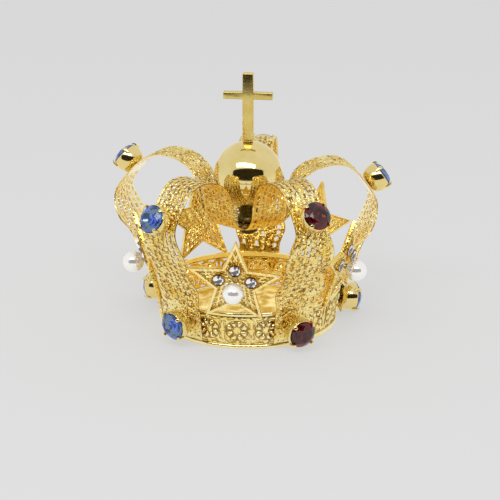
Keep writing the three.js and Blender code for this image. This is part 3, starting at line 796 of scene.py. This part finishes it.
def brick_strip(route):
    """A flat strip as long and wide as the arch, in rows of cells staggered like bricks."""
    columns = 2 * round(route.length / cell_length)
    rows = len(row_shares) - 1

    def is_between_bricks(edge):
        """True for every second cross edge, by turns in odd and even rows."""
        a, b = [vert.co for vert in edge.verts]
        column, row = round((a.x + 0.5) * columns), round(((a.y + b.y) / 2 + 0.5) * rows - 0.5)
        return abs(a.x - b.x) < 1e-5 and 0 < column < columns and (column + row) % 2

    deselect_all()
    bpy.ops.mesh.primitive_grid_add(x_subdivisions=columns, y_subdivisions=rows, size=1, location=(0, 0, 0))
    strip = bpy.context.object
    edit(strip)
    pick(strip, "edges", is_between_bricks)
    bpy.ops.mesh.dissolve_edges(use_verts=False)
    close_edit(strip)
    for vert in strip.data.vertices:
        column, row = round((vert.co.x + 0.5) * columns), round((vert.co.y + 0.5) * rows)
        along = route.length * column / columns
        zigzag = lean = 0
        if 1 < row < rows - 1:
            zigzag = (0.07 if (column + row) % 2 else -0.07) + by_hand.uniform(-0.03, 0.03)
        if 0 < column < columns:
            # The cells lean forward away from the middle, like leaves on a stem.
            lean = 0.5 * abs(row_shares[row]) + by_hand.uniform(-0.12, 0.12)
        half = half_width(route, along)
        vert.co = Vector((along + lean, (row_shares[row] + zigzag) * half, 0)) * MM
    strip.data.update()
    return strip


# %% A helper that bends a strip
def bend_along(piece, route, turn):
    """Bends a flat strip along the route with a Curve modifier, and turns it to its side."""
    line = bpy.data.curves.new("route", "CURVE")
    line.dimensions = "3D"
    line.twist_mode = "MINIMUM"
    steps = 240
    spline = line.splines.new("POLY")
    spline.points.add(steps)
    for i, point in enumerate(spline.points):
        place = route.at(route.length * i / steps)
        point.co = (0, -place.x * MM, place.y * MM, 1)
    rail = new_object("route", line)
    edit(piece)
    bpy.ops.transform.rotate(value=math.pi, orient_axis="X", center_override=(0, 0, 0))
    close_edit(piece)
    modify(piece, "CURVE", object=rail, deform_axis="POS_X")
    bpy.data.objects.remove(rail)
    place_by(piece, Matrix.Rotation(turn * 2 * math.pi, 4, "Z"))


# %% Cut, thicken and bend each arch
PLAIN, OPENING, BEAD = range(3)
seat_reach, plain_height, plain_radius = 1.7, 8.3, 4

for side, (turn, _, _, stone_share, _) in arches.items():
    route = routes[side]
    seat = stone_share * route.length

    def is_lace(face):
        """True for a cell clear of the strip's edge, the stone's seat, the foot and the tip."""
        middle = middle_of(face)
        place = route.at(middle.x)
        is_inside = abs(middle.y) < 0.88 * half_width(route, middle.x)
        is_clear = place.y > plain_height and place.x > plain_radius and abs(middle.x - seat) >= seat_reach
        return is_inside and is_clear and face.calc_area() > 0.25 * MM**2

    bead_share = 0.08 if side == "front_left" else 0.25
    arch = brick_strip(route)
    edit(arch)
    pick(arch, "faces", is_lace)
    cells = bmesh.from_edit_mesh(arch.data)
    for cell in cells.faces:
        cell.material_index = PLAIN
        if cell.select:
            cell.material_index = BEAD if by_hand.random() < bead_share else OPENING
    bmesh.update_edit_mesh(arch.data)
    close_edit(arch)
    beads = emboss(arch, 0.12, 0.16, 0.18, lambda f: f.material_index == BEAD)
    cut = pierce(arch, 0.09, 0.08, 0.14, lambda f: f.material_index == OPENING)
    # The strip's edges are turned up a little.
    edit(arch)
    pick(arch, "verts", lambda v: abs(v.co.y) > 0.97 * half_width(route, v.co.x / MM) * MM)
    lift(0.15)
    close_edit(arch)
    for polygon in arch.data.polygons:
        polygon.material_index = OUTSIDE
    # The side arches get a pale inside, painted light. The other arches get a darker inside, painted shade.
    finishes = side_finishes if side in ("left", "right") else sheet_finishes
    take_finishes(arch, finishes)
    thicken(arch, 0.24, WALL)
    smooth_over(arch)
    edit(arch)
    lift(0.3)
    close_edit(arch)
    bend_along(arch, route, turn)
    settle(arch, f"arch_lace_{side}", finishes, "gilt", f"arch_{side}")
    print("arch", side, "has", cut, "openings,", beads, "beads and", len(arch.data.polygons), "faces")

# %% [markdown]
# ## Stars
# A star is a sheet with a thin raised edge, cut through with a lattice that gets finer towards its tips.
# A plain grid would be cut off at the edge, so the lattice follows the points: a ten-sided circle has
# its valleys pulled in, an inset makes the edge, and the middle is poked, merged to five kites and
# subdivided. Every cell that isn't under a cup is pierced. The three cups are turned on the lathe, with
# a lip round the crystal painted dark as painted shade, and a peg carries the pearl.

# %% The star's sheet
star_radius = 9.3
star_inner_share = 0.43
cup_places = {"left": (-3.1, 0.9), "top": (0, 3.25), "right": (3.1, 0.9)}
pearl_place = Vector((0, -0.4))


def star_turn(vert):
    """Where a point lies round the star, counted in half points from the top one."""
    return (math.atan2(vert.co.y, vert.co.x) - math.pi / 2) / (math.pi / SIDES)


def runs_to_tip(edge):
    """True for an edge from the star's middle to one of its five tips."""
    inner, outer = sorted(edge.verts, key=lambda vert: vert.co.length)
    return inner.co.length < 0.1 * MM and round(star_turn(outer)) % 2 == 0


deselect_all()
bpy.ops.mesh.primitive_circle_add(vertices=2 * SIDES, radius=star_radius * MM, fill_type="NGON")
star = bpy.context.object
edit(star)
pick(star, "verts", lambda v: round(star_turn(v)) % 2)
bpy.ops.transform.resize(value=(star_inner_share, star_inner_share, 1), center_override=(0, 0, 0))
pick(star, "faces", lambda f: True)
bpy.ops.mesh.inset(thickness=0.5 * MM)
bpy.ops.mesh.poke()
pick(star, "edges", runs_to_tip)
bpy.ops.mesh.dissolve_edges(use_verts=False)
kites = pick(star, "faces", lambda f: min(v.co.length for v in f.verts) < 0.1 * MM)
bpy.ops.mesh.subdivide(number_cuts=3, smoothness=0)
close_edit(star)


def is_free(face):
    """True for a cell of the lattice that no cup covers. A longer face belongs to the star's edge."""
    near_cup = any((middle_of(face).xy - Vector(place)).length < 1 for place in cup_places.values())
    is_short = max(edge.calc_length() for edge in face.edges) < 2.6 * MM
    return len(face.verts) == 4 and face.calc_area() > 0.22 * MM**2 and is_short and not near_cup


star_openings = pierce(star, 0.1, 0.08, 0.1, is_free)
print("star:", kites, "kites,", star_openings, "openings")

# %% Thicken the star and raise its edge
corners = []
for i in range(2 * SIDES):
    reach, turn = star_radius * (star_inner_share if i % 2 else 1), i * math.pi / SIDES
    corners.append(Vector((reach * math.sin(turn), reach * math.cos(turn))))


def edge_distance(spot):
    """How far a place on the star is from its outline, in millimetres."""
    gaps = []
    for a, b in zip(corners, [*corners[1:], corners[0]]):
        share = min(max((spot - a).dot(b - a) / (b - a).length_squared, 0), 1)
        gaps.append((spot - a.lerp(b, share)).length)
    return min(gaps)


take_finishes(star, star_finishes)
thicken(star, 0.34, INSIDE)
edit(star)
lift(0.42)
pick(star, "faces", lambda f: f.normal.z > 0.9 and edge_distance(middle_of(f).xy) < 0.36)
extrude(0, 0, 0.6)
close_edit(star)
round_edges(star, 0.09, 2, 50)
print("star:", len(star.data.polygons), "faces")

# %% Cups and the pearl's peg
cup_profile = [(0, 0.3), (1.15, 0.3), (1.27, 0.55), (1.2, 0.8), (1.33, 1.16), (1.33, 1.28)]
cup_profile += [(1.24, 1.33), (1.12, 1.27), (0.98, 0.9), (0, 0.76)]
star_bits = [star]
for x, y in cup_places.values():
    cup = lathe(cup_profile, 32)
    take_finishes(cup, star_finishes)
    for polygon in cup.data.polygons:
        # Only the lip and the seat get the dark finish, painted shade round the crystal. The cup's outside
        # is as bright as the star.
        is_outside = polygon.center.z < 1.1 * MM and polygon.center.xy.length > 1.1 * MM
        polygon.material_index = OUTSIDE if is_outside else WALL
    star_bits.append(place_by(cup, Matrix.Translation((x * MM, y * MM, 0))))
peg = lathe([(0, 0.3), (0.62, 0.3), (0.5, 0.5), (0.5, 2.05), (0, 2.05)], 16)
star_bits.append(place_by(peg, Matrix.Translation((0, pearl_place.y * MM, 0))))
join(*star_bits)
print("star with cups and peg:", len(star.data.polygons), "faces")

# %% [markdown]
# ## Cut stones
# A round brilliant has an eight-sided table, a ring of facets round it, a thin girdle and a pointed back.
# Each facet could be cut by a plane, but the points where they meet are easier to give: the convex hull
# operator wraps six rings of points in flat faces, which are exactly the facets.

# %% A helper that cuts a stone
def cut_stone(radius, point_height, girdle, table):
    """A brilliant, from its girdle's low and high edge, and its table's share of the radius and height."""
    (girdle_low, girdle_high), (table_share, table_height) = girdle, table
    rings = [
        (8, radius * table_share, table_height, 0.5),
        (8, mix(radius * table_share, radius, 0.52), mix(girdle_high, table_height, 0.62), 0),
        (16, radius, girdle_high, 0),
        (16, radius, girdle_low, 0),
        (8, radius * 0.62, mix(point_height, girdle_low, 0.42), 0.5),
        (8, radius * 0.07, point_height, 0.5),
    ]
    parts = []
    for count, size, height, shift in rings:
        deselect_all()
        bpy.ops.mesh.primitive_circle_add(vertices=count, radius=size * MM, location=(0, 0, height * MM))
        parts.append(take_new(shift * 2 * math.pi / count))
    stone = join(*parts)
    edit(stone, "VERT")
    bpy.ops.mesh.convex_hull()
    bpy.ops.mesh.select_all(action="SELECT")
    bpy.ops.mesh.dissolve_limited(angle_limit=math.radians(0.5))
    close_edit(stone)
    take_finishes(stone, crystal_finishes)
    for i, polygon in enumerate(stone.data.polygons):
        is_back = polygon.normal.z < -0.2
        # Back facets take by turns the bright foil, a painted glint, and the deep foil, a painted dark
        # reflection.
        polygon.material_index = 1 + i % 2 if is_back else 0
    return stone


# %% The star's crystals and pearl
crystal = cut_stone(1.02, 0.82, girdle=(1.26, 1.32), table=(0.52, 1.64))
pearl_radius, pearl_height = 2.06, 3.37
deselect_all()
bpy.ops.mesh.primitive_uv_sphere_add(
    segments=48, ring_count=28, radius=pearl_radius * MM, location=(0, pearl_place.y * MM, pearl_height * MM)
)
pearl = take_new()
# The pearl is drilled for its peg: the faces at its pole are pushed in and flattened.
edit(pearl)
pick(pearl, "faces", lambda f: middle_of(f).z < 1.42)
extrude(0, 0, 0.25)
bpy.ops.transform.resize(value=(0.8, 0.8, 0))
close_edit(pearl)
print("crystal:", len(crystal.data.polygons), "facets, pearl:", len(pearl.data.polygons), "faces")

# %% Set the five stars
star_lean = math.radians(14)
star_overlap = 0.6
low_point = star_radius * math.cos(math.pi / SIDES)
star_height = circlet_height - star_overlap + low_point * math.cos(star_lean)
star_seat = foot_radius(circlet_height)
# The stars were set by eye, so each is turned a little in its own plane, in shares of a whole turn.
star_tilts = {"front": -0.008, "right_front": 0.004, "right_back": -0.003, "left_back": 0.005}
star_tilts["left_front"] = 0.002


def star_out(tilt):
    """How far out a star's middle stands when the closer of its lower points touches the circlet."""
    outs = []
    for angle in (math.pi / SIDES + tilt, math.pi / SIDES - tilt):
        side, drop = star_radius * math.sin(angle), star_radius * math.cos(angle)
        outs.append(math.sqrt(star_seat**2 - side**2) + drop * math.sin(star_lean))
    return max(outs)


for i, (side, tilt_share) in enumerate(star_tilts.items()):
    tilt = tilt_share * 2 * math.pi
    face = (
        Matrix.Rotation(i * 2 * math.pi / SIDES, 4, "Z")
        @ Matrix.Translation((0, -star_out(tilt) * MM, star_height * MM))
        @ Matrix.Rotation(math.pi / 2 + star_lean, 4, "X")
        @ Matrix.Rotation(tilt, 4, "Z")
    )
    settle(place_by(copy_of(star), face), f"star_lace_{side}", star_finishes, "gilt", f"star_{side}")
    settle(place_by(copy_of(pearl), face), f"bead_{side}", pearl_coat, "pearl", f"pearl_{side}")
    for spot, (x, y) in cup_places.items():
        cut = place_by(copy_of(crystal), face @ Matrix.Translation((x * MM, y * MM, 0)))
        name, packed = f"brilliant_{spot}_{side}", f"crystal_{spot}_{side}"
        settle(cut, name, crystal_finishes, "clear_crystal", packed, soft_angle=0)
for pattern in (star, crystal, pearl):
    bpy.data.objects.remove(pattern)
print("stars set:", list(star_tilts))

# %% [markdown]
# ## Bowls and claws
# Each large stone lies in a polished bowl with four claws. A bowl could be a squashed ball, but a turned
# profile gives its thin lip and flat foot as well. A claw is a small block, extruded up the side in
# four steps that bend over the stone, then rounded, and copied four times.

# %% Turn a bowl
bowl_depth = 3.3
bowl_profile = [(0, 0), (1.2, 0), (1.32, 0.02), (1.72, 0.1), (2.1, 0.32), (2.42, 0.66), (2.64, 1.1)]
bowl_profile += [(2.78, 1.6), (2.84, 2.15), (2.83, 2.7), (2.78, 3.1), (2.74, 3.26), (2.69, bowl_depth)]
bowl_profile += [(2.63, 3.26), (2.6, 3.1), (0, 1.56)]
bowl = lathe(bowl_profile, 64)
print("bowl:", len(bowl.data.polygons), "faces")

# %% Bend its claws, and cut its stone
deselect_all()
bpy.ops.mesh.primitive_cube_add(
    size=1, location=(2.94 * MM, 0, 2.62 * MM), scale=(0.4 * MM, 0.86 * MM, 0.3 * MM)
)
claw = take_new()
edit(claw)
pick(claw, "faces", lambda f: f.normal.z > 0.9)
for step, size in (
    ((0.03, 0, 0.42), 1),
    ((0, 0, 0.42), 0.96),
    ((-0.2, 0, 0.3), 0.9),
    ((-0.32, 0, 0.16), 0.8),
):
    extrude(*step)
    bpy.ops.transform.resize(value=(size, size, size))
close_edit(claw)
smooth_over(claw, 2)
claw_turns = [math.radians(degrees) for degrees in (45, 135, 225, 315)]
join(bowl, *[place_by(copy_of(claw), Matrix.Rotation(turn, 4, "Z")) for turn in claw_turns])
bpy.data.objects.remove(claw)
stone = cut_stone(2.57, 1.75, (bowl_depth - 0.02, bowl_depth + 0.22), (0.58, bowl_depth + 0.98))
print("bowl and claws:", len(bowl.data.polygons), "faces, stone:", len(stone.data.polygons), "facets")

# %% Set the ten stones
glass_finishes = {"garnet": garnet_finishes, "blue": blue_finishes}
for side, (turn, _, _, stone_share, foot_stone) in arches.items():
    route = routes[side]
    seats = {"shoulder": stone_share * route.length, "circlet": foot_stone - arch_foot_height}
    colour = "garnet" if side in ("front_right", "back") else "blue"
    for seat, along in seats.items():
        out = route.outward(along)
        spot = route.at(along) + out * (arch_sheet + fit_gap)
        stand = (
            Matrix.Rotation(turn * 2 * math.pi, 4, "Z")
            @ Matrix.Translation((0, -spot.x * MM, spot.y * MM))
            @ Matrix.Rotation(math.atan2(out.x, out.y), 4, "X")
        )
        setting = place_by(copy_of(bowl), stand)
        settle(setting, f"bowl_{seat}_{side}", gilt_mirror, "gilt", f"{seat}_setting_{side}")
        gem = place_by(copy_of(stone), stand)
        name, packed = f"gem_{seat}_{side}", f"{seat}_stone_{side}"
        settle(gem, name, glass_finishes[colour], f"{colour}_glass", packed, soft_angle=0)
for pattern in (bowl, stone):
    bpy.data.objects.remove(pattern)
print("stones set on the arches:", list(arches))

# %% [markdown]
# ## Hub
# Under the ball the five arch tips lie between a collar and a washer, held by a stud and its nut. All
# are a very dark brass, painted shade for the shadow under the ball. The round ones are turned on the
# lathe, and the nut is a six-sided cylinder with a bore. At this size a spiral thread would look no
# different from the fine grooves in the stud's profile.

# %% Turn the collar and the washer
bore = stud_radius + fit_gap
tip_top = hub_height + arch_sheet + fit_gap
washer_top = hub_height - fit_gap
washer_low = washer_top - 0.6
nut_height = 1.1
nut_low = washer_low - fit_gap - nut_height
ball_radius = 6.65
ball_wall = 0.45
ball_lift = 2.6
ball_height = tip_top + ball_lift + ball_radius


def ball_bottom(radius):
    return ball_height - math.sqrt(ball_radius**2 - radius**2) - fit_gap


collar_profile = [(bore, tip_top), (2, tip_top), (2.14, tip_top + 0.12), (2.14, tip_top + 0.5)]
collar_profile += [(1.86, tip_top + 0.8), (1.7, tip_top + 1.4), (1.86, tip_top + 2)]
collar_profile.append((2.12, ball_bottom(2.12) - 0.1))
collar_profile += [(radius, ball_bottom(radius)) for radius in (2.1, 1.5, bore)]
settle(lathe([*collar_profile, (bore, tip_top)]), "hub_collar", brass_painted_shade, "gilt", "collar")
washer_profile = [(bore, washer_low), (2.95, washer_low), (3.08, washer_low + 0.1), (3.08, washer_top - 0.1)]
washer_profile += [(2.98, washer_top), (bore, washer_top), (bore, washer_low)]
settle(lathe(washer_profile), "hub_washer", brass_painted_shade, "gilt", "washer")
print("the collar is", round(ball_bottom(collar_radius) - tip_top, 2), "mm high")

# %% The nut and the stud
def cylinder(sides, radius, length, height):
    deselect_all()
    size = {"radius": radius * MM, "depth": length * MM}
    bpy.ops.mesh.primitive_cylinder_add(vertices=sides, location=(0, 0, height * MM), **size)
    return bpy.context.object


cylinder(6, 1.88, nut_height, nut_low + nut_height / 2)
nut = take_new(math.pi / 6)
round_edges(nut, 0.12, 2, 30)
drill = cylinder(32, bore, 3, nut_low)
modify(nut, "BOOLEAN", object=drill, operation="DIFFERENCE", solver="EXACT")
bpy.data.objects.remove(drill)
settle(nut, "hub_nut", brass_painted_shade, "gilt", "nut")

groove_pitch = 0.24
head_radius = 1.9
head_low = ball_height - math.sqrt((ball_radius - ball_wall) ** 2 - head_radius**2) + solder_gap
height = nut_low - 0.5
stud_profile = [(0, height), (0.62, height)]
while height < head_low - 0.4:
    stud_profile += [(0.79, height + groove_pitch / 2), (0.66, height + groove_pitch)]
    height += groove_pitch
stud_profile += [(0.78, head_low - 0.05), (stud_radius, head_low), (1.8, head_low), (1.88, head_low + 0.1)]
stud_profile += [(1.88, head_low + 0.5), (1.78, head_low + 0.6), (0, head_low + 0.6)]
stud = settle(lathe(stud_profile, 32), "hub_stud", brass_painted_shade, "gilt", "stud")
print("nut:", len(nut.data.polygons), "faces, stud:", len(stud.data.polygons), "faces")

# %% [markdown]
# ## Ball and cross
# The ball is two thin half balls, soldered and polished until the seam is only a hair line. Two half
# shells would show no more than a sphere with a fine bevel along its equator. The cross is one block:
# its arms are extruded out of the sides, its edges are beveled, and a peg goes down into the ball.

# %% The ball with its seam
def is_on_seam(vert):
    return abs(vert.co.z - ball_height * MM) < 1e-7


deselect_all()
bpy.ops.mesh.primitive_uv_sphere_add(
    segments=128, ring_count=64, radius=ball_radius * MM, location=(0, 0, ball_height * MM)
)
ball = take_new()
edit(ball)
pick(ball, "edges", lambda e: all(is_on_seam(v) for v in e.verts))
bpy.ops.mesh.bevel(offset=0.04 * MM, segments=2)
pick(ball, "verts", is_on_seam)
bpy.ops.transform.resize(value=(0.998, 0.998, 1))
close_edit(ball)
settle(ball, "ball", gilt_mirror, "gilt", "orb_lower_half", "orb_upper_half", soft_angle=60)
print("ball:", len(ball.data.polygons), "faces")

# %% The cross
cross_top, cross_foot = 50, ball_height + ball_radius + fit_gap
arm_reach, post_width, cross_thickness = 4.8, 2.1, 1.5
bar_low, bar_high = 44.925, 46.275
block = (post_width * MM, cross_thickness * MM, (bar_high - bar_low) * MM)
deselect_all()
bpy.ops.mesh.primitive_cube_add(size=1, location=(0, 0, (bar_low + bar_high) / 2 * MM), scale=block)
cross = take_new()
edit(cross)
for way, reach in (
    ((1, 0, 0), arm_reach - post_width / 2),
    ((-1, 0, 0), arm_reach - post_width / 2),
    ((0, 0, 1), cross_top - bar_high),
    ((0, 0, -1), bar_low - cross_foot),
):
    # By the time of the post's turn the arms have tops and bottoms too, which are left alone.
    pick(cross, "faces", lambda f: f.normal.dot(Vector(way)) > 0.9 and (way[0] or abs(middle_of(f).x) < 0.1))
    extrude(*[v * reach for v in way])
pick(cross, "faces", lambda f: f.normal.z < -0.9 and middle_of(f).z < cross_foot + 0.1)
bpy.ops.mesh.inset(thickness=0.3 * MM)
extrude(0, 0, -1.5)
close_edit(cross)
round_edges(cross, 0.16, 3, 40)
settle(cross, "cross_gilt", gilt_cross, "gilt", "cross")
print("cross:", len(cross.data.polygons), "faces")
